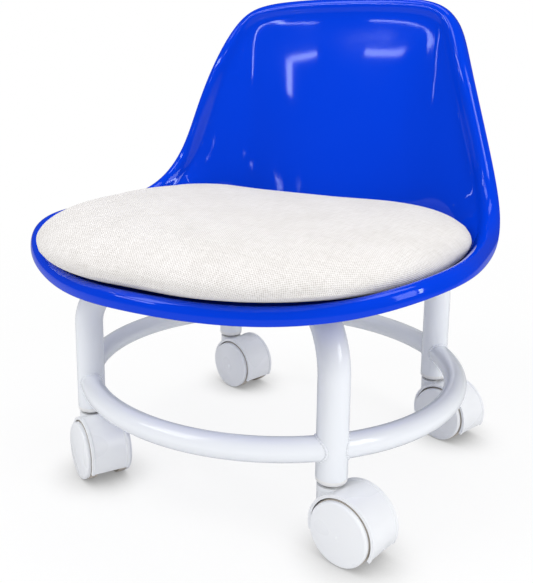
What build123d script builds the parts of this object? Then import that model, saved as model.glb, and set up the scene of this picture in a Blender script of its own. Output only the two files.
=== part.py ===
from build123d import *
from math import cos, radians, sin
import os

# A low rolling chair for a child, in millimetres. The origin is on the floor under the
# middle of the chair, the sitter faces -Y, and +Z is up. Left and right are as seen by
# someone who stands in front of the chair.

# Seat shell
shell_half_width = 200.0
shell_depth = 355.0
pan_height = 197.0
rim_drop = 12.5
back_rise = 216.0
pan_dish = 5.0
shell_wall = 3.4
lip_height = 13.0
lip_width = 9.0
hub_flat_radius = 62.0
hub_flat_share = 0.425
boss_radius = 9.0

# Steel frame
front_overhang = 35.2
leg_circle_radius = 165.0
leg_diameter = 24.0
tube_wall = 1.5
ring_diameter = 19.0
ring_height = 79.0
leg_foot_height = 56.5
leg_bend_radius = 40.0
frame_drop = 25.0
hub_diameter = 64.0
hub_wall = 3.0
hub_rise = 0.4
plate_size = 108.0
plate_thickness = 3.0
plate_corner_radius = 14.0

# Bolts that hold the shell to the frame
bolt_count = 4
bolt_circle_radius = 42.0
bolt_radius = 3.0
bolt_clearance = 0.3
bolt_head_radius = 5.5
bolt_head_height = 4.0
bolt_drive_radius = 2.5
bolt_drive_depth = 2.2
washer_radius = 7.0
washer_thickness = 1.2
insert_radius = 4.5
insert_length = 7.0
insert_floor_gap = 0.5

# Leg sockets and casters
socket_flange = 4.0
socket_round = 2.2
socket_depth = 34.0
wheel_radius = 25.0
caster_trail = 20.0
caster_width = 44.0
axle_radius = 3.0
axle_length = 31.0
stem_radius = 5.5
stem_seat = 12.4
stem_top_gap = 3.0
stem_tip_chamfer = 1.0
stem_groove_drop = 6.0
stem_groove_depth = 0.8
stem_groove_width = 2.4
grip_ring_slit = 1.6
collar_radius = 8.2
collar_thickness = 1.8
running_gap = 0.05
rest_gap = 0.3
hood_gap = 1.0
hood_wall = 1.7
hood_half_width = 16.7
hood_bead_width = 2.2
hood_bead_rise = 0.7
hood_start_angle = -26
hood_end_angle = 196
stem_boss_radius = 10.8
stem_boss_gap = 0.5
web_half_width = 5.0
axle_boss_radius = 8.0
axle_boss_half_width = 6.0
tread_width = 7.0
wheel_face_gap = 0.2
wheel_hub_radius = 6.5
wheel_recess_radius = 19.5
wheel_recess_depth = 3.5
wheel_round = 0.8
cap_edge_gap = 0.5
cap_rim = 2.0
cap_dome = 1.6
cap_spigot_wall = 2.0
cap_spigot_gap = 0.4

# Cushion
cushion_half_width = 174.5
cushion_depth = 297.0
cushion_front_inset = 5.5
cushion_thickness = 40.0
cushion_round = 150.0
cushion_rear_round = 60.0
cushion_centre_share = 0.5
board_thickness = 4.0
board_share = 0.62

os.makedirs("parts", exist_ok=True)


def write(part, name):
    part.label = name
    export_step(part, "parts/" + name + ".step")


# Seat shell: one moulded skin, from a flat middle out to a rolled rim
# Each row is one station round the right half of the rim, from the middle of the front edge
# to the middle of the top: the rim's free edge across, back and up, the foot of the wall
# across, back and up, then how far the rim leans and which way it faces, in degrees.
station_shares = (
    (0.000, 0.000, 0.026, 0.000, 0.100, 0.0, 8, 180),
    (0.240, 0.028, 0.013, 0.240, 0.115, 0.0, 8, 165),
    (0.490, 0.090, 0.006, 0.475, 0.170, 0.0, 10, 140),
    (0.740, 0.171, 0.034, 0.650, 0.250, 0.1, 14, 115),
    (0.922, 0.271, 0.088, 0.780, 0.324, 0.4, 20, 100),
    (1.000, 0.403, 0.105, 0.835, 0.439, 0.8, 24, 92),
    (0.980, 0.561, 0.101, 0.830, 0.572, 1.0, 26, 88),
    (0.947, 0.710, 0.107, 0.800, 0.696, 1.0, 32, 80),
    (0.900, 0.828, 0.186, 0.750, 0.786, 0.8, 48, 60),
    (0.830, 0.887, 0.339, 0.685, 0.837, 0.5, 62, 40),
    (0.755, 0.901, 0.547, 0.595, 0.865, 0.3, 70, 28),
    (0.680, 0.930, 0.742, 0.500, 0.876, 0.1, 73, 22),
    (0.610, 0.980, 0.895, 0.405, 0.873, 0.1, 75, 16),
    (0.495, 1.000, 0.978, 0.265, 0.854, 0.1, 76, 10),
    (0.285, 0.997, 0.996, 0.130, 0.837, 0.1, 77, 5),
    (0.000, 0.993, 1.000, 0.000, 0.831, 0.1, 77, 0),
)
# How far the flat, the wall and the rolled lip have run at each point of a station
flat_shares = (0, 0.4, 0.8)
wall_shares = (0, 0.25, 0.55, 0.85)
lip_shares = ((1.9, 0.72), (1.15, 1.04), (0.45, 1.15), (0, 0.8), (0, 0.38), (0, 0))
skin_steps = 3
hub_centre = Vector(0, hub_flat_share * shell_depth, pan_height)
ring_outer_radius = leg_circle_radius + ring_diameter / 2
chair_half_depth = front_overhang / 2 + ring_outer_radius


def flipped(point):
    return Vector(-point.X, point.Y, point.Z)


def spline_weights(u):
    return (
        (1 - u) ** 3 / 6,
        (3 * u**3 - 6 * u**2 + 4) / 6,
        (-3 * u**3 + 3 * u**2 + 3 * u + 1) / 6,
        u**3 / 6,
    )


def mirrored_ends(points):
    return [flipped(points[1]), *points, flipped(points[-2])]


def clamped_ends(points):
    return [points[0] * 2 - points[1], *points, points[-1] * 2 - points[-2]]


def smooth_points(points, steps):
    found = []
    for first in range(len(points) - 3):
        last = first == len(points) - 4
        for step in range(steps + 1 if last else steps):
            total = Vector(0, 0, 0)
            for weight, point in zip(spline_weights(step / steps), points[first:]):
                total += point * weight
            found.append(total)
    return found


def station_points(row):
    across, back, up, foot_across, foot_back, foot_up, lean, facing = row
    edge = Vector(
        across * shell_half_width,
        back * shell_depth,
        pan_height - rim_drop + up * (rim_drop + back_rise),
    )
    foot = Vector(
        foot_across * shell_half_width,
        foot_back * shell_depth,
        pan_height + foot_up * pan_dish,
    )
    level = Vector(-sin(radians(facing)), -cos(radians(facing)), 0)
    normal = level * sin(radians(lean)) + Vector(0, 0, 1) * cos(radians(lean))
    return edge, foot, normal


def net_row(edge, foot, normal, along):
    normal = (normal - along * normal.dot(along)).normalized()
    outward = along.cross(normal)
    level_foot = Vector(foot.X, foot.Y, pan_height)
    hub = hub_centre + (level_foot - hub_centre).normalized() * hub_flat_radius
    lip = [
        edge - outward * lip_width * across + normal * lip_height * up
        for across, up in lip_shares
    ]
    flats = [hub + (level_foot - hub) * share for share in flat_shares]
    walls = [foot + (lip[0] - foot) * share for share in wall_shares]
    return [*flats, *walls, *lip]


def shell_skin():
    stations = [station_points(row) for row in station_shares]
    edges = mirrored_ends([edge for edge, foot, normal in stations])
    net = []
    for place, (edge, foot, normal) in enumerate(stations):
        along = (edges[place + 2] - edges[place]).normalized()
        net.append(net_row(edge, foot, normal, along))
    columns = [mirrored_ends(list(column)) for column in zip(*net)]
    lines = [smooth_points(column, skin_steps) for column in columns]
    return [smooth_points(clamped_ends(list(line)), skin_steps) for line in zip(*lines)]


def skin_under(skin):
    wide = [[flipped(p) for p in skin[1]], *skin, [flipped(p) for p in skin[-2]]]
    under = []
    for row, (before, here, after) in enumerate(zip(wide, wide[1:], wide[2:])):
        line = []
        for place, point in enumerate(here):
            run = here[min(place + 1, len(here) - 1)] - here[max(place - 1, 0)]
            normal = (after[place] - before[place]).cross(run).normalized() * -1
            if place == 0:
                normal = Vector(0, 0, 1)
            line.append(point - normal * shell_wall)
        if row in (0, len(skin) - 1):
            line = [Vector(0, point.Y, point.Z) for point in line]
        under.append(line)
    return under


def edge_on(face, points):
    middle = points[len(points) // 2]
    return face.edges().sort_by_distance(middle)[0]


def half_faces(upper, lower):
    top = Face.make_surface_from_array_of_points(upper)
    under = Face.make_surface_from_array_of_points(lower)
    rim_top = edge_on(top, [line[-1] for line in upper])
    rim_under = edge_on(under, [line[-1] for line in lower])
    rim = Face.make_surface_from_curves(rim_top, rim_under)
    hub_top = edge_on(top, [line[0] for line in upper])
    hub_under = edge_on(under, [line[0] for line in lower])
    return [top, under, rim], hub_top, hub_under


def disc_face(edge):
    return Face(Wire([edge, edge.mirror(Plane.YZ)]))


def shell_solid():
    upper = shell_skin()
    front = min(point.Y for line in upper for point in line)
    shift = Vector(0, -chair_half_depth - front, 0)
    upper = [[point + shift for point in line] for line in upper]
    right, hub_top, hub_under = half_faces(upper, skin_under(upper))
    left = [face.mirror(Plane.YZ) for face in right]
    return Solid(Shell([*right, *left, disc_face(hub_top), disc_face(hub_under)]))


base_spot = Vector(0, front_overhang / 2, 0)
leg_top_height = pan_height - frame_drop
tube_top_height = leg_top_height + leg_diameter / 2
hub_top_height = tube_top_height + hub_rise
hub_bottom_height = leg_top_height - leg_diameter / 2
plate_top_height = hub_top_height + plate_thickness
insert_hole_depth = insert_length + insert_floor_gap


def level_plane(spot, height):
    return Plane(origin=(spot.X, spot.Y, height))


def upright_plane(spot, turn):
    outward = Vector(cos(radians(turn)), sin(radians(turn)), 0)
    return Plane(origin=spot, x_dir=outward, z_dir=outward.cross(Vector(0, 0, 1)))


shell_body = shell_solid()
with BuildPart() as seat_shell:
    add(shell_body)
    with BuildSketch(level_plane(base_spot, plate_top_height)):
        with PolarLocations(bolt_circle_radius, bolt_count):
            Circle(boss_radius)
    extrude(amount=pan_height - shell_wall / 2 - plate_top_height)
    with BuildSketch(level_plane(base_spot, plate_top_height)):
        with PolarLocations(bolt_circle_radius, bolt_count):
            Circle(insert_radius)
    extrude(amount=insert_hole_depth, mode=Mode.SUBTRACT)
write(seat_shell.part, "seat_shell")

# Threaded inserts moulded into the bosses under the shell
with BuildPart() as shell_inserts:
    with BuildSketch(level_plane(base_spot, plate_top_height)):
        with PolarLocations(bolt_circle_radius, bolt_count):
            Circle(insert_radius)
            Circle(bolt_radius, mode=Mode.SUBTRACT)
    extrude(amount=insert_length)
write(shell_inserts.part, "shell_inserts")

# Plate that the shell is bolted down on
with BuildPart() as mounting_plate:
    with BuildSketch(level_plane(base_spot, hub_top_height)):
        RectangleRounded(plate_size, plate_size, plate_corner_radius)
        with PolarLocations(bolt_circle_radius, bolt_count):
            Circle(bolt_radius + bolt_clearance, mode=Mode.SUBTRACT)
    extrude(amount=plate_thickness)
write(mounting_plate.part, "mounting_plate")

with BuildPart() as plate_washers:
    with BuildSketch(level_plane(base_spot, hub_top_height - washer_thickness)):
        with PolarLocations(bolt_circle_radius, bolt_count):
            Circle(washer_radius)
            Circle(bolt_radius + bolt_clearance, mode=Mode.SUBTRACT)
    extrude(amount=washer_thickness)
write(plate_washers.part, "plate_washers")

bolt_head_top = hub_top_height - washer_thickness
bolt_head_bottom = bolt_head_top - bolt_head_height
with BuildPart() as plate_bolts:
    with BuildSketch(level_plane(base_spot, bolt_head_bottom)):
        with PolarLocations(bolt_circle_radius, bolt_count):
            Circle(bolt_head_radius)
    extrude(amount=bolt_head_height)
    with BuildSketch(level_plane(base_spot, bolt_head_top)):
        with PolarLocations(bolt_circle_radius, bolt_count):
            Circle(bolt_radius)
    extrude(amount=plate_top_height + insert_length - bolt_head_top)
    with BuildSketch(level_plane(base_spot, bolt_head_bottom)):
        with PolarLocations(bolt_circle_radius, bolt_count):
            RegularPolygon(bolt_drive_radius, 6)
    extrude(amount=bolt_drive_depth, mode=Mode.SUBTRACT)
write(plate_bolts.part, "plate_bolts")

# Hub tube in the middle of the frame, with the four legs coped round it
with BuildPart() as centre_hub:
    with BuildSketch(level_plane(base_spot, hub_bottom_height)):
        Circle(hub_diameter / 2)
        Circle(hub_diameter / 2 - hub_wall, mode=Mode.SUBTRACT)
    extrude(amount=hub_top_height - hub_bottom_height)
write(centre_hub.part, "centre_hub")

leg_turns = {"front_right": -45, "rear_right": 45, "rear_left": 135, "front_left": 225}
for corner, turn in leg_turns.items():
    with BuildPart() as leg:
        with BuildLine(upright_plane(base_spot, turn)) as leg_path:
            FilletPolyline(
                (leg_circle_radius, leg_foot_height),
                (leg_circle_radius, leg_top_height),
                ((hub_diameter - leg_diameter) / 2, leg_top_height),
                radius=leg_bend_radius,
            )
        with BuildSketch(Plane(origin=leg_path.line @ 0, z_dir=leg_path.line % 0)):
            Circle(leg_diameter / 2)
            Circle(leg_diameter / 2 - tube_wall, mode=Mode.SUBTRACT)
        sweep()
        with BuildSketch(level_plane(base_spot, leg_top_height)):
            Circle(hub_diameter / 2)
        extrude(amount=leg_diameter, both=True, mode=Mode.SUBTRACT)
    write(leg.part, "leg_" + corner)

# Ring that ties the legs, in four arcs cut to the legs
ring_turns = {"right": -45, "rear": 45, "left": 135, "front": 225}
for side, turn in ring_turns.items():
    with BuildPart() as ring_arc:
        with BuildSketch(upright_plane(base_spot, turn)):
            with Locations((leg_circle_radius, ring_height)):
                Circle(ring_diameter / 2)
                Circle(ring_diameter / 2 - tube_wall, mode=Mode.SUBTRACT)
        revolve(axis=Axis(base_spot, (0, 0, 1)), revolution_arc=90)
        with BuildSketch(level_plane(base_spot, ring_height)):
            with PolarLocations(leg_circle_radius, 2, turn, 90, endpoint=True):
                Circle(leg_diameter / 2)
        extrude(amount=ring_diameter, both=True, mode=Mode.SUBTRACT)
    write(ring_arc.part, "ring_" + side)

# Heights and widths shared by the sockets and the casters
socket_bottom = leg_foot_height - socket_flange
socket_top = leg_foot_height + socket_depth
collar_top = socket_bottom - rest_gap
collar_bottom = collar_top - collar_thickness
stem_bottom = collar_bottom - stem_seat
stem_top = socket_top - stem_top_gap
groove_bottom = stem_top - stem_groove_drop - stem_groove_width
hood_inner_radius = wheel_radius + hood_gap
hood_outer_radius = hood_inner_radius + hood_wall
hood_bead_radius = hood_outer_radius + hood_bead_rise
hood_bead_inner = hood_half_width - hood_bead_width
tread_outer = hood_half_width - wheel_face_gap
tread_inner = tread_outer - tread_width
boss_half_width = tread_inner - stem_boss_gap
wheel_hub_inner = axle_boss_half_width + rest_gap
recess_floor = tread_outer - wheel_recess_depth
axle_bore_radius = axle_radius + running_gap
spigot_radius = wheel_recess_radius - cap_spigot_gap
cap_radius = wheel_radius - cap_edge_gap
cap_top = caster_width / 2
cap_rim_top = hood_half_width + cap_rim
cap_shoulder = cap_top - cap_dome - cap_rim_top
grip_radius = stem_radius - stem_groove_depth
hood_sweep = hood_end_angle - hood_start_angle


def socket_part(spot):
    with BuildPart() as socket:
        with BuildSketch(level_plane(spot, socket_bottom)):
            Circle(leg_diameter / 2)
        extrude(amount=socket_flange)
        fillet(socket.edges().group_by(Axis.Z)[0], radius=socket_round)
        with BuildSketch(level_plane(spot, leg_foot_height)):
            Circle(leg_diameter / 2 - tube_wall)
        extrude(amount=socket_depth)
        with BuildSketch(level_plane(spot, socket_bottom)):
            Circle(stem_radius + running_gap)
        extrude(amount=socket_flange + socket_depth, mode=Mode.SUBTRACT)
    return socket.part


def hood_part(spot, side):
    axle = side.from_local_coords((caster_trail, wheel_radius, 0))
    start = side.x_dir.rotate(Axis((0, 0, 0), side.z_dir), hood_start_angle)
    section = Plane(origin=axle, x_dir=start, z_dir=start.cross(side.z_dir))
    with BuildPart() as hood:
        with BuildSketch(level_plane(spot, wheel_radius)):
            Circle(stem_boss_radius)
        extrude(amount=collar_bottom - wheel_radius)
        for way in (1, -1):
            with BuildSketch(side.offset(way * boss_half_width)):
                with Locations((caster_trail, wheel_radius)):
                    Circle(hood_inner_radius)
            extrude(amount=way * caster_width, mode=Mode.SUBTRACT)
        with BuildSketch(section):
            with BuildLine():
                Polyline(
                    (hood_inner_radius, -hood_half_width),
                    (hood_bead_radius, -hood_half_width),
                    (hood_bead_radius, -hood_bead_inner),
                    (hood_outer_radius, -hood_bead_inner + hood_bead_rise),
                    (hood_outer_radius, hood_bead_inner - hood_bead_rise),
                    (hood_bead_radius, hood_bead_inner),
                    (hood_bead_radius, hood_half_width),
                    (hood_inner_radius, hood_half_width),
                    close=True,
                )
            make_face()
        revolve(axis=Axis(axle, side.z_dir), revolution_arc=hood_sweep)
        with BuildSketch(section):
            with Locations(((hood_inner_radius + hood_wall / 2) / 2, 0)):
                Rectangle(hood_inner_radius + hood_wall / 2, web_half_width * 2)
        revolve(axis=Axis(axle, side.z_dir), revolution_arc=hood_sweep)
        with BuildSketch(side):
            with Locations((caster_trail, wheel_radius)):
                Circle(axle_boss_radius)
        extrude(amount=axle_boss_half_width, both=True)
        with BuildSketch(level_plane(spot, stem_bottom)):
            Circle(stem_radius)
        extrude(amount=stem_seat, mode=Mode.SUBTRACT)
        with BuildSketch(side):
            with Locations((caster_trail, wheel_radius)):
                Circle(axle_radius)
        extrude(amount=caster_width, both=True, mode=Mode.SUBTRACT)
    return hood.part


def stem_part(spot):
    with BuildPart() as stem:
        with BuildSketch(level_plane(spot, stem_bottom)):
            Circle(stem_radius)
        extrude(amount=stem_top - stem_bottom)
        chamfer(stem.edges().group_by(Axis.Z)[-1], length=stem_tip_chamfer)
        with BuildSketch(level_plane(spot, groove_bottom)):
            Circle(stem_radius)
            Circle(grip_radius, mode=Mode.SUBTRACT)
        extrude(amount=stem_groove_width, mode=Mode.SUBTRACT)
        with BuildSketch(level_plane(spot, collar_bottom)):
            Circle(collar_radius)
        extrude(amount=collar_thickness)
    return stem.part


def grip_ring_part(spot):
    with BuildPart() as grip_ring:
        with BuildSketch(level_plane(spot, groove_bottom)):
            Circle(stem_radius)
            Circle(grip_radius, mode=Mode.SUBTRACT)
            with Locations((stem_radius / 2, 0)):
                Rectangle(stem_radius, grip_ring_slit, mode=Mode.SUBTRACT)
        extrude(amount=stem_groove_width)
    return grip_ring.part


def axle_part(side):
    with BuildPart() as axle:
        with BuildSketch(side):
            with Locations((caster_trail, wheel_radius)):
                Circle(axle_radius)
        extrude(amount=axle_length / 2, both=True)
    return axle.part


def wheel_part(section):
    with BuildPart() as wheel:
        with BuildSketch(section) as wheel_sketch:
            with BuildLine():
                Polyline(
                    (axle_bore_radius, wheel_hub_inner),
                    (wheel_hub_radius, wheel_hub_inner),
                    (wheel_hub_radius, tread_inner),
                    (wheel_radius, tread_inner),
                    (wheel_radius, tread_outer),
                    (wheel_recess_radius, tread_outer),
                    (wheel_recess_radius, recess_floor),
                    (axle_bore_radius, recess_floor),
                    close=True,
                )
            make_face()
            fillet(wheel_sketch.vertices().group_by(Axis.X)[-1], radius=wheel_round)
        revolve(axis=Axis(section.origin, section.y_dir))
    return wheel.part


def cap_part(section):
    with BuildPart() as cap:
        with BuildSketch(section):
            with BuildLine():
                Polyline(
                    (0, cap_top),
                    (0, hood_half_width),
                    (spigot_radius - cap_spigot_wall, hood_half_width),
                    (spigot_radius - cap_spigot_wall, recess_floor),
                    (spigot_radius, recess_floor),
                    (spigot_radius, hood_half_width),
                    (cap_radius, hood_half_width),
                    (cap_radius, cap_rim_top),
                )
                TangentArc(
                    (cap_radius, cap_rim_top),
                    (cap_radius - cap_shoulder, cap_rim_top + cap_shoulder),
                    tangent=(0, 1),
                )
                TangentArc(
                    (0, cap_top),
                    (cap_radius - cap_shoulder, cap_rim_top + cap_shoulder),
                    tangent=(1, 0),
                )
            make_face()
        revolve(axis=Axis(section.origin, section.y_dir))
    return cap.part


# Way from each stem to its axle, in degrees from +X, as the casters stand at rest
caster_turns = {
    "front_right": -10.4,
    "rear_right": -17.9,
    "rear_left": -16.2,
    "front_left": -30.0,
}
for corner, turn in caster_turns.items():
    spot = upright_plane(base_spot, leg_turns[corner]).from_local_coords((leg_circle_radius, 0, 0))
    side = upright_plane(spot, turn)
    axle_spot = side.from_local_coords((caster_trail, wheel_radius, 0))
    name = "caster_" + corner
    write(socket_part(spot), "socket_" + corner)
    write(hood_part(spot, side), name + "_hood")
    write(stem_part(spot), name + "_stem")
    write(grip_ring_part(spot), name + "_grip_ring")
    write(axle_part(side), name + "_axle")
    for hand, axle_way in (("left", side.z_dir * -1), ("right", side.z_dir)):
        section = Plane(origin=axle_spot, x_dir=(0, 0, 1), z_dir=Vector(0, 0, 1).cross(axle_way))
        write(wheel_part(section), name + "_wheel_" + hand)
        write(cap_part(section), name + "_cap_" + hand)

# Seat cushion: a crowned pad with drawn-in sides, on a thin board
# Corners of the right half of its outline, across and back from the middle of the front
outline_shares = ((0.45, 0), (1, 0.29), (1, 0.74), (0.80, 1), (0.30, 0.957))
# Height of each level of the pad, and how large the outline is there
level_shares = (
    (0, 0.68),
    (0.03, 0.79),
    (0.10, 0.885),
    (0.22, 0.95),
    (0.40, 1.0),
    (0.56, 0.985),
    (0.70, 0.94),
    (0.84, 0.85),
    (0.94, 0.70),
    (0.985, 0.45),
    (1.0, 0.25),
)
cushion_bottom = pan_height + rest_gap
cushion_front = cushion_front_inset - chair_half_depth
cushion_middle = Vector(0, cushion_front + cushion_centre_share * cushion_depth, 0)


def outline_points(share):
    points = [
        (across * cushion_half_width * share, (back - cushion_centre_share) * cushion_depth * share)
        for across, back in outline_shares
    ]
    return points + [(-x, y) for x, y in reversed(points)]


def outline_radii(share):
    right = [cushion_round, cushion_round, cushion_round, cushion_rear_round, cushion_round]
    return [radius * share for radius in right + right[::-1]]


with BuildPart() as seat_cushion:
    for height_share, share in level_shares:
        level = cushion_bottom + cushion_thickness * height_share
        with BuildSketch(level_plane(cushion_middle, level)):
            with BuildLine():
                FilletPolyline(*outline_points(share), radius=outline_radii(share), close=True)
            make_face()
    loft(ruled=True)
    with BuildSketch(level_plane(cushion_middle, cushion_bottom)):
        with BuildLine():
            FilletPolyline(
                *outline_points(board_share), radius=outline_radii(board_share), close=True
            )
        make_face()
    extrude(amount=board_thickness, mode=Mode.SUBTRACT)
write(seat_cushion.part, "seat_cushion")

with BuildPart() as cushion_board:
    with BuildSketch(level_plane(cushion_middle, cushion_bottom)):
        with BuildLine():
            FilletPolyline(
                *outline_points(board_share), radius=outline_radii(board_share), close=True
            )
        make_face()
    extrude(amount=board_thickness)
write(cushion_board.part, "cushion_board")
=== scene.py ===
import math

import bmesh
import bpy
from mathutils import Matrix, Vector


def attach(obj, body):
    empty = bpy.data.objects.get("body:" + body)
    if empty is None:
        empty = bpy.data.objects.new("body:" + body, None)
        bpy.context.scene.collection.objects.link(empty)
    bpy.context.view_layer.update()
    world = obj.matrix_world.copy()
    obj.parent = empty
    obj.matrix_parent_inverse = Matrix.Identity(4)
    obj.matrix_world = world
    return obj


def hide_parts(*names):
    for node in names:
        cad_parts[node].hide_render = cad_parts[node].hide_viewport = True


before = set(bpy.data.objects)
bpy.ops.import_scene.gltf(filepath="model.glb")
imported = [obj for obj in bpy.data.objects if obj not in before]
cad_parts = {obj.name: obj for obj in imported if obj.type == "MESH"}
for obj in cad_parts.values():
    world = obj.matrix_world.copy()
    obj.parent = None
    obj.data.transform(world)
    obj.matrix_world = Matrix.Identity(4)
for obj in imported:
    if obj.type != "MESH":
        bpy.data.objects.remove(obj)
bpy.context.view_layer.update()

# Legs, ring and hub: 24 mm and 19 mm steel tube, bent, coped and welded together.
# The whole frame is powder coated in gloss white after welding, so the beads of the
# welds round the ring's ends and round the hub are white too.
frame_middle = Vector((0.0, 0.0176, 0.0))
leg_circle = 0.165
leg_radius = 0.012
leg_top_height = 0.172
leg_turns = {"front_right": -45, "rear_right": 45, "rear_left": 135, "front_left": 225}
ring_tube_radius = 0.0095
ring_height = 0.079
hub_radius = 0.032
plate_underside = 0.1844
bead_radius = 0.0011
bead_ripple = 0.00016
bead_ripples = 26
hub_bead_ripples = 64
bead_steps = 208
bead_sides = 8
paint_colour = (0.845, 0.87, 0.91, 1.0)
paint_shaded_colour = (0.835, 0.86, 0.90, 1.0)
paint_cloud_scale = 14.0
paint_gloss = (0.19, 0.26)
paint_peel_scale = 60.0
paint_peel_depth = 0.00002
noise_range = (0.3, 0.7)
noise_core = (0.35, 0.65)


def new_finish(name):
    finish = bpy.data.materials.new(name)
    finish.use_nodes = True
    return finish, finish.node_tree, finish.node_tree.nodes["Principled BSDF"]


def object_place(tree, stretch=(1, 1, 1)):
    place = tree.nodes.new("ShaderNodeTexCoord")
    scaled = tree.nodes.new("ShaderNodeMapping")
    scaled.inputs["Scale"].default_value = stretch
    tree.links.new(place.outputs["Object"], scaled.inputs["Vector"])
    return scaled.outputs["Vector"]


def add_noise(tree, place, scale, detail=2.0):
    noise = tree.nodes.new("ShaderNodeTexNoise")
    noise.inputs["Scale"].default_value = scale
    noise.inputs["Detail"].default_value = detail
    tree.links.new(place, noise.inputs["Vector"])
    return noise.outputs["Fac"]


def between(tree, value, low, high, to_low=0.0, to_high=1.0):
    spread = tree.nodes.new("ShaderNodeMapRange")
    spread.inputs["From Min"].default_value = low
    spread.inputs["From Max"].default_value = high
    spread.inputs["To Min"].default_value = to_low
    spread.inputs["To Max"].default_value = to_high
    tree.links.new(value, spread.inputs["Value"])
    return spread.outputs["Result"]


def combine(tree, way, first, second):
    node = tree.nodes.new("ShaderNodeMath")
    node.operation = way
    for socket, value in zip(node.inputs, (first, second)):
        if isinstance(value, (int, float)):
            socket.default_value = value
        else:
            tree.links.new(value, socket)
    return node.outputs["Value"]


def blend_colours(tree, amount, first, second):
    mix = tree.nodes.new("ShaderNodeMix")
    mix.data_type = "RGBA"
    tree.links.new(amount, mix.inputs[0])
    for socket, colour in zip((mix.inputs[6], mix.inputs[7]), (first, second)):
        if isinstance(colour, tuple):
            socket.default_value = colour
        else:
            tree.links.new(colour, socket)
    return mix.outputs[2]


def raise_surface(tree, shader, height, depth, strength=1.0):
    bump = tree.nodes.new("ShaderNodeBump")
    bump.inputs["Strength"].default_value = strength
    bump.inputs["Distance"].default_value = depth
    tree.links.new(height, bump.inputs["Height"])
    tree.links.new(bump.outputs["Normal"], shader.inputs["Normal"])


def coat_node(name, finish):
    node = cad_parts[name]
    node.data.materials.clear()
    node.data.materials.append(finish)
    for face in node.data.polygons:
        face.material_index = 0
    return node


def add_piece(name, points, faces, finish, body):
    mesh = bpy.data.meshes.new(name)
    mesh.from_pydata(points, [], faces)
    mesh.validate()
    piece = bpy.data.objects.new(name, mesh)
    bpy.context.scene.collection.objects.link(piece)
    mesh.materials.append(finish)
    for face in mesh.polygons:
        face.use_smooth = True
    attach(piece, body)
    return piece


frame_paint, tree, shader = new_finish("frame_paint")
place = object_place(tree)
shade = between(tree, add_noise(tree, place, paint_cloud_scale), *noise_range)
paint = blend_colours(tree, shade, paint_colour, paint_shaded_colour)
tree.links.new(paint, shader.inputs["Base Color"])
peel = add_noise(tree, place, paint_peel_scale)
gloss = between(tree, peel, *noise_range, *paint_gloss)
tree.links.new(gloss, shader.inputs["Roughness"])
shader.inputs["Coat Weight"].default_value = 0.35
shader.inputs["Coat Roughness"].default_value = 0.06
raise_surface(tree, shader, peel, paint_peel_depth, 0.2)

for corner in leg_turns:
    coat_node("leg_" + corner, frame_paint)
for side in ("front", "right", "rear", "left"):
    coat_node("ring_" + side, frame_paint)
coat_node("centre_hub", frame_paint)


def bead(line, ripples):
    points, faces = [], []
    count = len(line)
    for place, spot in enumerate(line):
        ahead = (line[(place + 1) % count] - line[place - 1]).normalized()
        side = ahead.orthogonal() if place == 0 else (side - ahead * side.dot(ahead))
        side = side.normalized()
        across = ahead.cross(side)
        swing = math.sin(math.tau * ripples * place / count)
        radius = bead_radius + bead_ripple * swing
        for part in range(bead_sides):
            turn = math.tau * part / bead_sides
            points.append(spot + (side * math.cos(turn) + across * math.sin(turn)) * radius)
            after = (place + 1) % count * bead_sides
            here = place * bead_sides
            nxt = (part + 1) % bead_sides
            faces.append((here + part, here + nxt, after + nxt, after + part))
    return points, faces


def add_beads(name, lines, ripples):
    points, faces = [], []
    for line in lines:
        more_points, more_faces = bead(line, ripples)
        faces += [tuple(place + len(points) for place in face) for face in more_faces]
        points += more_points
    return add_piece(name, points, faces, frame_paint, "root")


def ring_end_line(turn, way):
    outward = Vector((math.cos(turn), math.sin(turn), 0.0))
    along = Vector((-math.sin(turn), math.cos(turn), 0.0)) * way
    axis = frame_middle + outward * leg_circle + Vector((0, 0, ring_height))
    line = []
    for step in range(bead_steps):
        angle = math.tau * step / bead_steps
        out = ring_tube_radius * math.cos(angle)
        reach = math.sqrt((leg_radius + bead_ripple) ** 2 - out**2)
        drift = reach**2 / (2 * leg_circle)
        rise = Vector((0, 0, ring_tube_radius * math.sin(angle)))
        line.append(axis + outward * (out - drift) + along * reach + rise)
    return line


def hub_end_line(turn):
    outward = Vector((math.cos(turn), math.sin(turn), 0.0))
    along = Vector((-math.sin(turn), math.cos(turn), 0.0))
    axis = frame_middle + Vector((0, 0, leg_top_height))
    line = []
    for step in range(bead_steps):
        angle = math.tau * step / bead_steps
        side = leg_radius * math.cos(angle)
        reach = math.sqrt(hub_radius**2 - side**2)
        rise = Vector((0, 0, leg_radius * math.sin(angle)))
        line.append(axis + outward * reach + along * side + rise)
    return line


ring_lines = [
    ring_end_line(math.radians(turn), way) for turn in leg_turns.values() for way in (1, -1)
]
add_beads("ring_welds", ring_lines, bead_ripples)
hub_lines = [hub_end_line(math.radians(turn)) for turn in leg_turns.values()]
add_beads("hub_welds", hub_lines, bead_ripples)
plate_line = [
    frame_middle
    + Vector((hub_radius * math.cos(angle), hub_radius * math.sin(angle), plate_underside))
    for angle in (math.tau * step / bead_steps for step in range(bead_steps))
]
add_beads("plate_weld", [plate_line], hub_bead_ripples)

# Mounting plate and its bolts: a 3 mm steel plate, painted with the frame, holds the shell.
# Four zinc-plated bolts with washers go up through it into brass inserts in the shell.
zinc_colour = (0.60, 0.59, 0.57, 1.0)
zinc_dull_colour = (0.47, 0.46, 0.45, 1.0)
brass_colour = (0.70, 0.50, 0.22, 1.0)
brass_dull_colour = (0.55, 0.38, 0.16, 1.0)
metal_patch_scale = 90.0
metal_gloss_scale = 300.0
metal_gloss = (0.28, 0.42)
metal_grain_depth = 0.00004
zinc_grain_scale = 900.0
brass_grain_scale = 700.0


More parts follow.
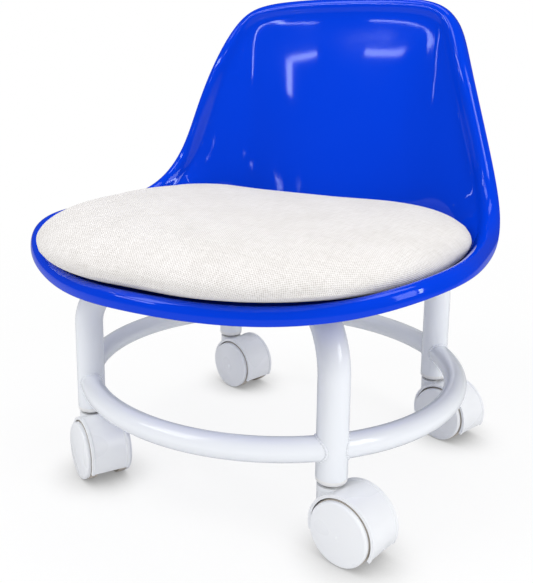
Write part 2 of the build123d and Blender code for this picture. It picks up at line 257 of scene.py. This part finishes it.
def metal_finish(name, bright, dull, grain):
    finish, tree, shader = new_finish(name)
    place = object_place(tree)
    patches = add_noise(tree, place, metal_patch_scale, 4.0)
    amount = between(tree, patches, *noise_core)
    tree.links.new(blend_colours(tree, amount, bright, dull), shader.inputs["Base Color"])
    shader.inputs["Metallic"].default_value = 1.0
    scuffs = add_noise(tree, place, metal_gloss_scale)
    gloss = between(tree, scuffs, *noise_range, *metal_gloss)
    tree.links.new(gloss, shader.inputs["Roughness"])
    raise_surface(tree, shader, add_noise(tree, place, grain, 3.0), metal_grain_depth, 0.5)
    return finish


zinc_steel = metal_finish("zinc_steel", zinc_colour, zinc_dull_colour, zinc_grain_scale)
insert_brass = metal_finish("insert_brass", brass_colour, brass_dull_colour, brass_grain_scale)
coat_node("mounting_plate", frame_paint)
coat_node("plate_washers", zinc_steel)
coat_node("plate_bolts", zinc_steel)
coat_node("shell_inserts", insert_brass)

# Seat shell: one injection-moulded skin, about 3.4 mm thick, that runs out from a flat
# middle, up the foot of the wall and over into a rolled rim with a rounded free edge.
# The plastic is coloured through, a saturated blue, and comes off a polished mould.
shell_half_width = 0.200
shell_depth = 0.355
shell_front = -0.1921
shell_wall = 0.0034
pan_height = 0.197
pan_dish = 0.005
rim_low_height = 0.1845
back_top_height = 0.413
lip_height = 0.0115
lip_width = 0.009
edge_round = 0.0011
hub_flat_radius = 0.062
hub_flat_share = 0.425
skin_steps = 9
# One row for each station round the right half of the rim: its free edge across, back and
# up, the foot of the wall across, back and up, how far the rim leans and which way it faces
station_shares = (
    (0.000, 0.000, 0.026, 0.000, 0.100, 0.0, 8, 180),
    (0.240, 0.028, 0.013, 0.240, 0.115, 0.0, 8, 165),
    (0.490, 0.090, 0.006, 0.475, 0.170, 0.0, 10, 140),
    (0.740, 0.171, 0.032, 0.670, 0.245, 0.1, 14, 115),
    (0.924, 0.271, 0.085, 0.800, 0.322, 0.4, 20, 100),
    (1.000, 0.403, 0.105, 0.853, 0.437, 0.8, 24, 92),
    (0.980, 0.561, 0.101, 0.845, 0.572, 1.0, 26, 88),
    (0.947, 0.710, 0.107, 0.810, 0.698, 1.0, 32, 80),
    (0.900, 0.828, 0.186, 0.755, 0.787, 0.8, 48, 60),
    (0.830, 0.887, 0.339, 0.685, 0.837, 0.5, 62, 40),
    (0.755, 0.901, 0.547, 0.595, 0.865, 0.3, 70, 28),
    (0.676, 0.930, 0.742, 0.500, 0.876, 0.1, 73, 22),
    (0.606, 0.980, 0.895, 0.405, 0.873, 0.1, 75, 16),
    (0.495, 1.000, 0.978, 0.265, 0.854, 0.1, 76, 10),
    (0.285, 0.997, 0.996, 0.130, 0.837, 0.1, 77, 5),
    (0.000, 0.993, 1.000, 0.000, 0.831, 0.1, 77, 0),
)
flat_shares = (0, 0.4, 0.8)
wall_shares = (0, 0.25, 0.55, 0.85)
lip_shares = (
    (1.9, 0.74), (1.3, 1.01), (0.82, 1.12), (0.32, 1.02), (0.03, 0.70), (0, 0.32), (0.10, 0)
)
boss_circle = 0.042
boss_radius = 0.009
boss_bore = 0.0046
boss_bottom = 0.1875
boss_flare = 0.0015
boss_chamfer = 0.0005
boss_steps = 48
boss_root_share = 0.6
boss_flare_share = 0.35
shell_colour = (0.0, 0.0455, 0.69, 1.0)
shell_deep_colour = (0.0, 0.0435, 0.665, 1.0)
shell_mirror_tint = (0.62, 0.72, 1.0, 1.0)
# Painted light: the dimmer, greyer blue that the shell shows only to bounced light.
shell_painted_bounce_colour = (0.10, 0.13, 0.40, 1.0)
shell_cloud_scale = 7.0
shell_gloss_scale = 30.0
shell_gloss = (0.05, 0.09)
shell_ripple_scale = 25.0
shell_ripple_depth = 0.00001


def flipped(spot):
    return Vector((-spot.x, spot.y, spot.z))


def spline_points(controls, steps):
    found = []
    for first in range(len(controls) - 3):
        last = first == len(controls) - 4
        for step in range(steps + 1 if last else steps):
            u = step / steps
            weights = (
                (1 - u) ** 3 / 6,
                (3 * u**3 - 6 * u**2 + 4) / 6,
                (-3 * u**3 + 3 * u**2 + 3 * u + 1) / 6,
                u**3 / 6,
            )
            total = Vector((0, 0, 0))
            for weight, spot in zip(weights, controls[first:]):
                total += spot * weight
            found.append(total)
    return found


def station_line(row, before, after, edge):
    foot_across, foot_back, foot_up, lean, facing = row[3:]
    foot = Vector(
        (foot_across * shell_half_width, foot_back * shell_depth, pan_height + foot_up * pan_dish)
    )
    level = Vector((-math.sin(math.radians(facing)), -math.cos(math.radians(facing)), 0))
    lean = math.radians(lean)
    normal = level * math.sin(lean) + Vector((0, 0, math.cos(lean)))
    along = (after - before).normalized()
    normal = (normal - along * normal.dot(along)).normalized()
    outward = along.cross(normal)
    level_foot = Vector((foot.x, foot.y, pan_height))
    middle = Vector((0, hub_flat_share * shell_depth, pan_height))
    hub = middle + (level_foot - middle).normalized() * hub_flat_radius
    lip = [
        edge - outward * lip_width * wide + normal * lip_height * high
        for wide, high in lip_shares
    ]
    flats = [hub + (level_foot - hub) * share for share in flat_shares]
    walls = [foot + (lip[0] - foot) * share for share in wall_shares]
    return flats + walls + lip


rim_rise = back_top_height - rim_low_height
edges = [
    Vector((row[0] * shell_half_width, row[1] * shell_depth, rim_low_height + row[2] * rim_rise))
    for row in station_shares
]
ends = [flipped(edges[1]), *edges, flipped(edges[-2])]
net = [
    station_line(row, ends[place], ends[place + 2], edges[place])
    for place, row in enumerate(station_shares)
]
columns = [[flipped(line[1]), *line, flipped(line[-2])] for line in map(list, zip(*net))]
rings = [spline_points(column, skin_steps) for column in columns]
half = []
for line in map(list, zip(*rings)):
    clamped = [line[0] * 2 - line[1], *line, line[-1] * 2 - line[-2]]
    half.append(spline_points(clamped, skin_steps))
skin = half + [[flipped(spot) for spot in line] for line in half[-2:0:-1]]
shell_shift = Vector((0, shell_front - min(spot.y for line in skin for spot in line), 0))
skin = [[spot + shell_shift for spot in line] for line in skin]

under = []
for row, line in enumerate(skin):
    before, after = skin[row - 1], skin[(row + 1) % len(skin)]
    lower = []
    for place, spot in enumerate(line):
        run = line[min(place + 1, len(line) - 1)] - line[max(place - 1, 0)]
        normal = run.cross(after[place] - before[place]).normalized()
        if place == 0:
            normal = Vector((0, 0, 1))
        lower.append(spot - normal * shell_wall)
    under.append(lower)

# Both skins are joined by a rounded free edge, and each is closed over the flat middle
edge_bend = ((0.15, 0.72), (0.5, 1), (0.85, 0.72))
strips = []
for upper, lower in zip(skin, under):
    tip = (upper[-1] - upper[-2]).normalized() * edge_round
    bend = [upper[-1].lerp(lower[-1], share) + tip * out for share, out in edge_bend]
    strips.append(upper + bend + lower[::-1])
width = len(strips[0])
points = [spot for strip in strips for spot in strip]
faces = []
for row in range(len(strips)):
    nxt = (row + 1) % len(strips)
    for place in range(width - 1):
        faces.append(
            (
                row * width + place,
                nxt * width + place,
                nxt * width + place + 1,
                row * width + place + 1,
            )
        )
pan_middle = Vector((0, hub_flat_share * shell_depth, pan_height)) + shell_shift
top_middle = len(points)
points += [pan_middle, pan_middle - Vector((0, 0, shell_wall))]
for row in range(len(strips)):
    nxt = (row + 1) % len(strips)
    faces.append((top_middle, nxt * width, row * width))
    faces.append((top_middle + 1, row * width + width - 1, nxt * width + width - 1))

# Four bosses under the pan hold the brass inserts
boss_top = pan_height - shell_wall * boss_root_share
boss_profile = (
    (boss_bore, boss_top),
    (boss_bore, boss_bottom + boss_chamfer),
    (boss_bore + boss_chamfer, boss_bottom),
    (boss_radius - boss_chamfer, boss_bottom),
    (boss_radius, boss_bottom + boss_chamfer),
    (boss_radius, boss_top - 2 * boss_flare),
    (boss_radius + boss_flare * boss_flare_share, boss_top - boss_flare),
    (boss_radius + boss_flare, boss_top),
)
for quarter in range(4):
    turn = math.tau * quarter / 4
    centre = frame_middle + Vector((math.cos(turn), math.sin(turn), 0)) * boss_circle
    first = len(points)
    for step in range(boss_steps):
        angle = math.tau * step / boss_steps
        for radius, height in boss_profile:
            side = Vector((math.cos(angle), math.sin(angle), 0)) * radius
            points.append(centre + side + Vector((0, 0, height)))
    count = len(boss_profile)
    for step in range(boss_steps):
        here, there = first + step * count, first + (step + 1) % boss_steps * count
        for place in range(count):
            nxt = (place + 1) % count
            faces.append((here + place, here + nxt, there + nxt, there + place))

shell_plastic, tree, shader = new_finish("shell_plastic")
place = object_place(tree)
amount = between(tree, add_noise(tree, place, shell_cloud_scale), *noise_range)
plain = blend_colours(tree, amount, shell_colour, shell_deep_colour)
# Bounced light sees the shell as a dimmer, greyer blue, so less blue light falls on the frame,
# cushion and floor: painted light.
path = tree.nodes.new("ShaderNodeLightPath")
plain_or_painted_bounce = blend_colours(tree, path.outputs["Is Diffuse Ray"], plain, shell_painted_bounce_colour)
tree.links.new(plain_or_painted_bounce, shader.inputs["Base Color"])
polish = add_noise(tree, place, shell_gloss_scale, 0.0)
gloss = between(tree, polish, 0.0, 1.0, *shell_gloss)
tree.links.new(gloss, shader.inputs["Roughness"])
shader.inputs["Specular IOR Level"].default_value = 0.5
shader.inputs["Specular Tint"].default_value = shell_mirror_tint
ripple = add_noise(tree, place, shell_ripple_scale, 0.0)
raise_surface(tree, shader, ripple, shell_ripple_depth, 0.1)
shell = add_piece("shell_moulding", points, faces, shell_plastic, "root")
turned = bmesh.new()
turned.from_mesh(shell.data)
bmesh.ops.recalc_face_normals(turned, faces=turned.faces)
turned.to_mesh(shell.data)
turned.free()
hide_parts("seat_shell")

# Seat cushion: a foam pad in an off-white linen weave, crowned on top, with sides that
# tuck in under it. The cover is drawn tight round the foam and fixed to a thin board.
cushion_half_width = 0.1768
cushion_depth = 0.3008
cushion_front = -0.1898
cushion_bottom = 0.1974
cushion_thickness = 0.0395
cushion_centre_share = 0.5
outline_corners = ((0.45, 0), (1, 0.29), (1, 0.74), (0.80, 1), (0.30, 0.957))
outline_rounds = (0.150, 0.150, 0.150, 0.060, 0.150)
outline_steps = 24
level_shares = (
    (0, 0.0),
    (0, 0.35),
    (0, 0.62),
    (0.012, 0.78),
    (0.04, 0.86),
    (0.09, 0.918),
    (0.15, 0.954),
    (0.22, 0.978),
    (0.30, 0.994),
    (0.40, 1.0),
    (0.50, 0.990),
    (0.60, 0.967),
    (0.70, 0.932),
    (0.79, 0.885),
    (0.86, 0.82),
    (0.92, 0.735),
    (0.955, 0.63),
    (0.98, 0.50),
    (0.993, 0.36),
    (0.999, 0.20),
    (1.0, 0.0),
)
cushion_turns = 208
cushion_rows = 62
cushion_pressure = 3.0
cushion_swell = 0.0005
cushion_held = 0.009
swell_frames = 20
weave_pitch = 0.00105
thread_wander_scale = 90.0
thread_wander = 0.0011
slub_length_scale = 60.0
slub_width_scale = 700.0
slub_share = 0.6
weave_share = 0.5
# The weave's gaps are darkened towards a deep brown-grey: painted shade in the hollows between the
# threads.
painted_gap_shade_range = (0.15, 0.75)
gap_painted_shade_strength = 0.55
weave_depth = 0.00045
cloth_patch_scale = 22.0
cloth_patch_most = 0.35
cloth_colour = (0.86, 0.84, 0.83, 1.0)
cloth_thread_colour = (0.74, 0.715, 0.69, 1.0)
cloth_painted_gap_shade_colour = (0.42, 0.385, 0.35, 1.0)


def rounded_outline(corners, rounds):
    points = []
    count = len(corners)
    for place, (corner, radius) in enumerate(zip(corners, rounds)):
        before = (corners[place - 1] - corner).normalized()
        after = (corners[(place + 1) % count] - corner).normalized()
        half = before.angle(after) / 2
        run = radius / math.tan(half)
        middle = corner + (before + after).normalized() * (radius / math.sin(half))
        start = corner + before * run - middle
        sweep = math.pi - 2 * half
        turning = 1 if before.x * after.y - before.y * after.x < 0 else -1
        for step in range(outline_steps + 1):
            angle = turning * sweep * step / outline_steps
            spin = Vector(
                (
                    start.x * math.cos(angle) - start.y * math.sin(angle),
                    start.x * math.sin(angle) + start.y * math.cos(angle),
                )
            )
            points.append(middle + spin)
    return points


def even_points(points, count):
    loop = points + [points[0]]
    lengths = [0.0]
    for first, second in zip(loop, loop[1:]):
        lengths.append(lengths[-1] + (second - first).length)
    found, place = [], 0
    for step in range(count):
        want = lengths[-1] * step / count
        while lengths[place + 1] < want:
            place += 1
        share = (want - lengths[place]) / max(lengths[place + 1] - lengths[place], 1e-9)
        found.append(loop[place].lerp(loop[place + 1], share))
    return found


def smooth_line(rows, count):
    line = [rows[0], *rows, rows[-1]]
    found = []
    for step in range(count + 1):
        run = (len(rows) - 1) * step / count
        place = min(int(run), len(rows) - 2)
        u = run - place
        weights = (
            (-u + 2 * u**2 - u**3) / 2,
            (2 - 5 * u**2 + 3 * u**3) / 2,
            (u + 4 * u**2 - 3 * u**3) / 2,
            (u**3 - u**2) / 2,
        )
        found.append(
            tuple(
                sum(weight * line[place + side][part] for side, weight in enumerate(weights))
                for part in (0, 1)
            )
        )
    return found


half_corners = [
    Vector((across * cushion_half_width, (back - cushion_centre_share) * cushion_depth))
    for across, back in outline_corners
]
all_corners = half_corners + [Vector((-spot.x, spot.y)) for spot in reversed(half_corners)]
all_rounds = list(outline_rounds) + list(reversed(outline_rounds))
cushion_outline = even_points(rounded_outline(all_corners, all_rounds), cushion_turns)
cushion_profile = smooth_line(level_shares, cushion_rows)
cushion_middle = Vector((0, cushion_front + cushion_centre_share * cushion_depth, 0))

points, faces = [], []
for row, (level, share) in enumerate(cushion_profile[1:-1]):
    for spot in cushion_outline:
        height = cushion_bottom + cushion_thickness * level
        points.append(cushion_middle + Vector((spot.x * share, spot.y * share, height)))
bottom_place = len(points)
points.append(cushion_middle + Vector((0, 0, cushion_bottom)))
top_place = len(points)
points.append(cushion_middle + Vector((0, 0, cushion_bottom + cushion_thickness)))
row_count = cushion_rows - 1
for row in range(row_count - 1):
    for turn in range(cushion_turns):
        here, over = row * cushion_turns, (row + 1) * cushion_turns
        nxt = (turn + 1) % cushion_turns
        faces.append((here + turn, here + nxt, over + nxt, over + turn))
for turn in range(cushion_turns):
    nxt = (turn + 1) % cushion_turns
    last = (row_count - 1) * cushion_turns
    faces.append((bottom_place, nxt, turn))
    faces.append((top_place, last + turn, last + nxt))

# The weave is laid out flat from the middle of the top, so its threads run down the sides
reach = [[0.0] * cushion_turns for row in range(row_count)]
for turn in range(cushion_turns):
    run, spot = 0.0, points[top_place]
    for row in reversed(range(row_count)):
        here = points[row * cushion_turns + turn]
        run += (here - spot).length
        reach[row][turn] = run
        spot = here


def weave_spot(place):
    if place in (top_place, bottom_place):
        return (0.0, 0.0)
    row, turn = divmod(place, cushion_turns)
    spot = cushion_outline[turn]
    run = reach[row][turn]
    return (spot.x / spot.length * run, spot.y / spot.length * run)


cushion_cloth, tree, shader = new_finish("cushion_cloth")
spread = tree.nodes.new("ShaderNodeUVMap")
spread.uv_map = "weave"
place = spread.outputs["UV"]
parts = tree.nodes.new("ShaderNodeSeparateXYZ")
warped = tree.nodes.new("ShaderNodeVectorMath")
warped.operation = "ADD"
wander = tree.nodes.new("ShaderNodeTexNoise")
wander.inputs["Scale"].default_value = thread_wander_scale
tree.links.new(place, wander.inputs["Vector"])
wander_step = tree.nodes.new("ShaderNodeVectorMath")
wander_step.operation = "SCALE"
wander_step.inputs["Scale"].default_value = thread_wander
tree.links.new(wander.outputs["Color"], wander_step.inputs[0])
tree.links.new(place, warped.inputs[0])
tree.links.new(wander_step.outputs["Vector"], warped.inputs[1])
tree.links.new(warped.outputs["Vector"], parts.inputs[0])
wave = math.tau / (2 * weave_pitch)
weft = combine(tree, "SINE", combine(tree, "MULTIPLY", parts.outputs["X"], wave), 0.0)
warp = combine(tree, "SINE", combine(tree, "MULTIPLY", parts.outputs["Y"], wave), 0.0)
over_under = combine(tree, "MULTIPLY", weft, warp)
slub_across = tree.nodes.new("ShaderNodeMapping")
slub_across.inputs["Scale"].default_value = (slub_length_scale, slub_width_scale, 1.0)
slub_along = tree.nodes.new("ShaderNodeMapping")
slub_along.inputs["Scale"].default_value = (slub_width_scale, slub_length_scale, 1.0)
for slub in (slub_across, slub_along):
    tree.links.new(place, slub.inputs["Vector"])
thick_across = add_noise(tree, slub_across.outputs["Vector"], 1.0, 1.0)
thick_along = add_noise(tree, slub_along.outputs["Vector"], 1.0, 1.0)
thickness = combine(tree, "ADD", thick_across, thick_along)
crossings = combine(tree, "MULTIPLY", over_under, weave_share)
slubs = combine(tree, "MULTIPLY", thickness, slub_share)
weave_height = combine(tree, "ADD", crossings, slubs)
# Painted shade: the low parts of the weave, between the threads, are darkened.
gap_painted_shade_amount = between(tree, weave_height, *painted_gap_shade_range, 1.0, 0.0)
patches = add_noise(tree, place, cloth_patch_scale, 3.0)
soft_amount = between(tree, patches, *noise_core, 0.0, cloth_patch_most)
base = blend_colours(tree, soft_amount, cloth_colour, cloth_thread_colour)
gap_shade = combine(tree, "MULTIPLY", gap_painted_shade_amount, gap_painted_shade_strength)
woven_with_painted_shade = blend_colours(tree, gap_shade, base, cloth_painted_gap_shade_colour)
tree.links.new(woven_with_painted_shade, shader.inputs["Base Color"])
shader.inputs["Roughness"].default_value = 0.92
shader.inputs["Specular IOR Level"].default_value = 0.2
shader.inputs["Sheen Weight"].default_value = 0.12
shader.inputs["Sheen Roughness"].default_value = 0.5
raise_surface(tree, shader, weave_height, weave_depth, 0.75)

cushion = add_piece("cushion_pad", points, faces, cushion_cloth, "root")
layout = cushion.data.uv_layers.new(name="weave")
for loop in cushion.data.loops:
    layout.data[loop.index].uv = weave_spot(loop.vertex_index)


def swell(piece, held, pressure, most):
    start = [vertex.co.copy() for vertex in piece.data.vertices]
    kept = piece.vertex_groups.new(name="held")
    kept.add(held, 1.0, "REPLACE")
    cloth = piece.modifiers.new("Cloth", "CLOTH")
    cloth.settings.vertex_group_mass = "held"
    cloth.settings.use_pressure = True
    cloth.settings.uniform_pressure_force = pressure
    cloth.settings.effector_weights.gravity = 0.0
    cloth.point_cache.frame_start = 1
    cloth.point_cache.frame_end = swell_frames
    for step in range(1, swell_frames + 1):
        bpy.context.scene.frame_set(step)
    shaped = piece.evaluated_get(bpy.context.evaluated_depsgraph_get())
    moved = [vertex.co.copy() for vertex in shaped.data.vertices]
    piece.modifiers.remove(cloth)
    bpy.context.scene.frame_set(1)
    for vertex, first, last in zip(piece.data.vertices, start, moved):
        step = last - first
        if step.length > most:
            step = step.normalized() * most
        vertex.co = first + step
    piece.vertex_groups.remove(kept)


held_height = cushion_bottom + cushion_held
held = [place for place, spot in enumerate(points) if spot.z < held_height]
swell(cushion, held, cushion_pressure, cushion_swell)
rounder = cushion.modifiers.new("Rounder", "SUBSURF")
rounder.levels = 1
rounder.render_levels = 1
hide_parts("seat_cushion")

# Cushion board: thin plywood that the cover is stapled to, let into the pad's underside.
ply_colour = (0.55, 0.39, 0.22, 1.0)
ply_grain_colour = (0.40, 0.26, 0.13, 1.0)
ply_grain_stretch = (90.0, 6.0, 90.0)
ply_grain_depth = 0.0002

board_ply, tree, shader = new_finish("board_ply")
grain = add_noise(tree, object_place(tree, ply_grain_stretch), 1.0, 5.0)
amount = between(tree, grain, *noise_core)
ply = blend_colours(tree, amount, ply_colour, ply_grain_colour)
tree.links.new(ply, shader.inputs["Base Color"])
shader.inputs["Roughness"].default_value = 0.7
raise_surface(tree, shader, grain, ply_grain_depth, 0.4)
coat_node("cushion_board", board_ply)

# Leg sockets: off-white moulded plugs pressed into the leg ends, with a flange that closes
# the tube and a bore for the caster's stem.
socket_colour = (0.82, 0.82, 0.82, 1.0)
socket_shaded_colour = (0.80, 0.80, 0.80, 1.0)
socket_gloss = (0.32, 0.42)
moulded_cloud_scale = 12.0
moulded_gloss_scale = 30.0


def moulded_finish(name, light, shaded, gloss_range):
    finish, tree, shader = new_finish(name)
    place = object_place(tree)
    amount = add_noise(tree, place, moulded_cloud_scale, 0.0)
    plain = blend_colours(tree, amount, light, shaded)
    tree.links.new(plain, shader.inputs["Base Color"])
    polish = add_noise(tree, place, moulded_gloss_scale, 0.0)
    gloss = between(tree, polish, 0.0, 1.0, *gloss_range)
    tree.links.new(gloss, shader.inputs["Roughness"])
    return finish


socket_plastic = moulded_finish("socket_plastic", socket_colour, socket_shaded_colour, socket_gloss)
for corner in leg_turns:
    coat_node("socket_" + corner, socket_plastic)

# Casters: twin 50 mm wheels under a moulded hood, on a steel axle and a steel stem that
# turns in the leg's socket. Hoods and hub caps are satin white nylon, and the hub caps are
# pushed into the wheels' recesses. The wheels' light grey plastic is coloured a darker tan
# grey instead, as painted shade for the dark tan gaps between the hood, wheels and caps.
nylon_colour = (0.87, 0.885, 0.91, 1.0)
nylon_shaded_colour = (0.86, 0.875, 0.90, 1.0)
# Both tread colours are darkened tan greys: painted shade for the gaps round the wheels.
tread_and_gap_shade_colour = (0.52, 0.47, 0.41, 1.0)
tread_and_gap_shade_dim_colour = (0.48, 0.43, 0.37, 1.0)
nylon_gloss = (0.24, 0.32)
tread_gloss = (0.40, 0.52)

caster_nylon = moulded_finish("caster_nylon", nylon_colour, nylon_shaded_colour, nylon_gloss)
tread_plastic_and_gap_shade = moulded_finish("tread_plastic_and_gap_shade", tread_and_gap_shade_colour, tread_and_gap_shade_dim_colour, tread_gloss)
for corner in leg_turns:
    caster = "caster_" + corner
    coat_node(caster + "_hood", caster_nylon)
    for steel in ("_stem", "_grip_ring", "_axle"):
        coat_node(caster + steel, zinc_steel)
    for hand in ("left", "right"):
        coat_node(caster + "_wheel_" + hand, tread_plastic_and_gap_shade)
        coat_node(caster + "_cap_" + hand, caster_nylon)

# Studio: a plain white floor that fades into a white surround, soft lamps, and the camera
# at the photograph's viewing angle.
floor_half = 3.0
floor_near = 0.45
floor_far = 1.10
floor_colour = (0.92, 0.92, 0.92, 1.0)
# Painted reflection: the darker grey that the floor shows only in reflections.
floor_painted_reflection_colour = (0.42, 0.43, 0.45, 1.0)
floor_white_share = 0.87
# Painted contact shadow: the floor's glow is dimmed by ambient occlusion near the chair's parts.
painted_shadow_reach = 0.045
painted_shadow_open = 0.90
painted_shadow_dark = 0.22
surround_light = 0.70
surround_gloss = 0.06
camera_spot = (0.34258, -0.60125, 0.36180)
camera_turn = 32.245
camera_tilt = 12.032
camera_lens = 49.83
camera_shift = (0.0669, -0.1141)

mesh = bpy.data.meshes.new("floor")
corners = [(-1, -1), (1, -1), (1, 1), (-1, 1)]
mesh.from_pydata([(x * floor_half, y * floor_half, 0.0) for x, y in corners], [], [(0, 1, 2, 3)])
floor = bpy.data.objects.new("floor", mesh)
bpy.context.scene.collection.objects.link(floor)
floor_paint = bpy.data.materials.new("floor_paint")
floor_paint.use_nodes = True
tree = floor_paint.node_tree
tree.nodes.clear()
out = tree.nodes.new("ShaderNodeOutputMaterial")
matte = tree.nodes.new("ShaderNodeBsdfDiffuse")
glow_with_painted_shadow = tree.nodes.new("ShaderNodeEmission")
# The glow's strength falls with ambient occlusion: a painted contact shadow round the casters and
# legs.
painted_contact_shadow = tree.nodes.new("ShaderNodeAmbientOcclusion")
painted_contact_shadow.inputs["Distance"].default_value = painted_shadow_reach
shaded = between(tree, painted_contact_shadow.outputs["AO"], 0.0, painted_shadow_open, painted_shadow_dark, 1.0)
tree.links.new(shaded, glow_with_painted_shadow.inputs["Strength"])
path = tree.nodes.new("ShaderNodeLightPath")
# In reflections the floor shows a darker grey, so the glossy shell mirrors less white: a painted
# reflection.
mirrored = path.outputs["Is Glossy Ray"]
tree.links.new(
    blend_colours(tree, mirrored, floor_colour, floor_painted_reflection_colour), matte.inputs["Color"]
)
place = tree.nodes.new("ShaderNodeTexCoord")
distance = tree.nodes.new("ShaderNodeVectorMath")
distance.operation = "LENGTH"
tree.links.new(place.outputs["Object"], distance.inputs[0])
fade = between(tree, distance.outputs["Value"], floor_near, floor_far, floor_white_share)
amount = combine(tree, "MULTIPLY", fade, path.outputs["Is Camera Ray"])
mix = tree.nodes.new("ShaderNodeMixShader")
tree.links.new(amount, mix.inputs[0])
tree.links.new(matte.outputs[0], mix.inputs[1])
tree.links.new(glow_with_painted_shadow.outputs[0], mix.inputs[2])
tree.links.new(mix.outputs[0], out.inputs[0])
mesh.materials.append(floor_paint)

world = bpy.data.worlds.new("surround")
world.use_nodes = True
bpy.context.scene.world = world
tree = world.node_tree
tree.nodes.clear()
out = tree.nodes.new("ShaderNodeOutputWorld")
light = tree.nodes.new("ShaderNodeBackground")
light.inputs["Color"].default_value = (1, 1, 1, 1)
light.inputs["Strength"].default_value = surround_light
white = tree.nodes.new("ShaderNodeBackground")
white.inputs["Color"].default_value = (1, 1, 1, 1)
path = tree.nodes.new("ShaderNodeLightPath")
dim = tree.nodes.new("ShaderNodeBackground")
dim.inputs["Color"].default_value = (1, 1, 1, 1)
dim.inputs["Strength"].default_value = surround_gloss
around = tree.nodes.new("ShaderNodeMixShader")
tree.links.new(path.outputs["Is Glossy Ray"], around.inputs[0])
tree.links.new(light.outputs[0], around.inputs[1])
tree.links.new(dim.outputs[0], around.inputs[2])
seen = combine(tree, "MAXIMUM", path.outputs["Is Camera Ray"], path.outputs["Is Transmission Ray"])
mix = tree.nodes.new("ShaderNodeMixShader")
tree.links.new(seen, mix.inputs[0])
tree.links.new(around.outputs[0], mix.inputs[1])
tree.links.new(white.outputs[0], mix.inputs[2])
tree.links.new(mix.outputs[0], out.inputs[0])


def add_lamp(name, spot, aim, size, power):
    data = bpy.data.lights.new(name, "AREA")
    data.shape = "RECTANGLE"
    data.size, data.size_y = size
    data.energy = power
    lamp = bpy.data.objects.new(name, data)
    bpy.context.scene.collection.objects.link(lamp)
    lamp.location = spot
    lamp.rotation_mode = "QUATERNION"
    lamp.rotation_quaternion = (Vector(aim) - Vector(spot)).to_track_quat("-Z", "Y")
    return lamp


chair_middle = (0, 0, 0.2)
add_lamp("key_lamp", (-0.8, -1.0, 2.0), chair_middle, (0.9, 0.9), 9.5)
add_lamp("fill_lamp", (1.6, -0.5, 1.1), chair_middle, (0.5, 1.2), 7.0)
add_lamp("top_lamp", (0.1, 0.3, 2.0), chair_middle, (1.0, 0.6), 5.0)


def strip_lamp(name, first, last, aim, thick, power):
    first, last, aim = Vector(first), Vector(last), Vector(aim)
    middle = (first + last) / 2
    lamp = add_lamp(name, middle, aim, ((last - first).length, thick), power)
    away = (middle - aim).normalized()
    along = (last - first).normalized()
    along = (along - away * along.dot(away)).normalized()
    turned = Matrix((along, away.cross(along), away)).transposed()
    lamp.rotation_quaternion = turned.to_quaternion()
    lamp.visible_camera = False


# Small window-like lamps close to the chair, where the glossy back mirrors them as crisp
# patches: an L at the upper left, a bar at the upper right and two flecks at its foot. Two
# long strips further out draw the lines along the top and the right edge.
upper_back = (-0.044, 0.134, 0.345)
right_back = (0.062, 0.144, 0.388)
left_foot = (-0.045, 0.113, 0.233)
right_foot = (-0.020, 0.109, 0.231)
top_edge = (0, 0.14, 0.405)
right_edge = (0.16, 0.10, 0.27)
# Each row: the strip's two ends, the spot that it faces, its thickness and its power
strip_lamps = (
    ("window_upright", (-0.334, -0.238, 0.524), (-0.341, -0.247, 0.468), upper_back, 0.016, 0.032),
    ("window_bar", (-0.330, -0.239, 0.527), (-0.258, -0.259, 0.549), upper_back, 0.008, 0.022),
    ("window_top", (-0.080, -0.166, 0.501), (0.000, -0.186, 0.495), right_back, 0.009, 0.021),
    ("foot_left", (-0.312, -0.113, 0.284), (-0.290, -0.126, 0.288), left_foot, 0.003, 0.0020),
    ("foot_right", (-0.236, -0.163, 0.308), (-0.222, -0.168, 0.310), right_foot, 0.003, 0.0012),
    ("top_strip", (-1.35, -1.00, 1.25), (-0.40, -1.55, 1.20), top_edge, 0.12, 4.5),
    ("right_strip", (1.50, -0.15, 0.55), (1.50, -0.10, 1.35), right_edge, 0.10, 3.6),
)
for row in strip_lamps:
    strip_lamp(*row)

camera_data = bpy.data.cameras.new("camera")
camera_data.sensor_width = 36.0
camera_data.lens = camera_lens
camera_data.shift_x, camera_data.shift_y = camera_shift
camera = bpy.data.objects.new("camera", camera_data)
bpy.context.scene.collection.objects.link(camera)
camera.location = camera_spot
camera.rotation_euler = (math.radians(90 - camera_tilt), 0, math.radians(camera_turn))
bpy.context.scene.camera = camera
bpy.context.scene.view_settings.view_transform = "Standard"
